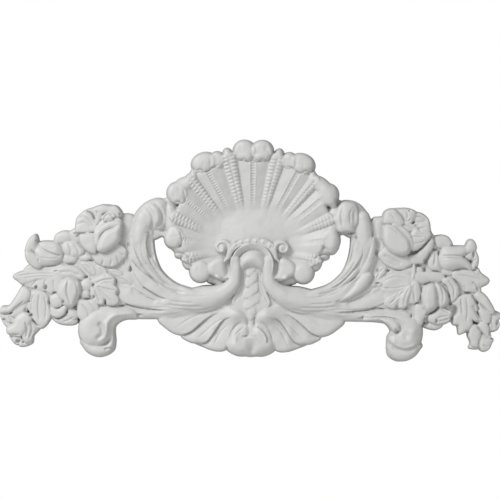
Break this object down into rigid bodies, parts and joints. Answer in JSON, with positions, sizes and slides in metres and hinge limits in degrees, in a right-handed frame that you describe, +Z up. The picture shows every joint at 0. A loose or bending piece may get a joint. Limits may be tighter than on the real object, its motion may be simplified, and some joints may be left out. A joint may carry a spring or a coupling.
{
  "type": "drop onlay",
  "caption": "Wide cast wall onlay: a scallop shell over an arch, scroll arms to each side ending in flower bouquets, and a leaf fan below.",
  "frame": {"origin": "on the flat back, behind the boss in the middle, where the onlay is fixed to its wall", "axes": "+X to the right along the row, +Z up, -Y out of the wall towards the viewer; the back lies in the plane Y = 0"},
  "size_m": [0.6051, 0.032, 0.2653],
  "materials": {
    "primed_casting": "primed white, matte to satin, factory primer on a moulded polyurethane casting"
  },
  "bodies": {
    "root": {"onlay": "primed_casting"}
  },
  "joints": []
}
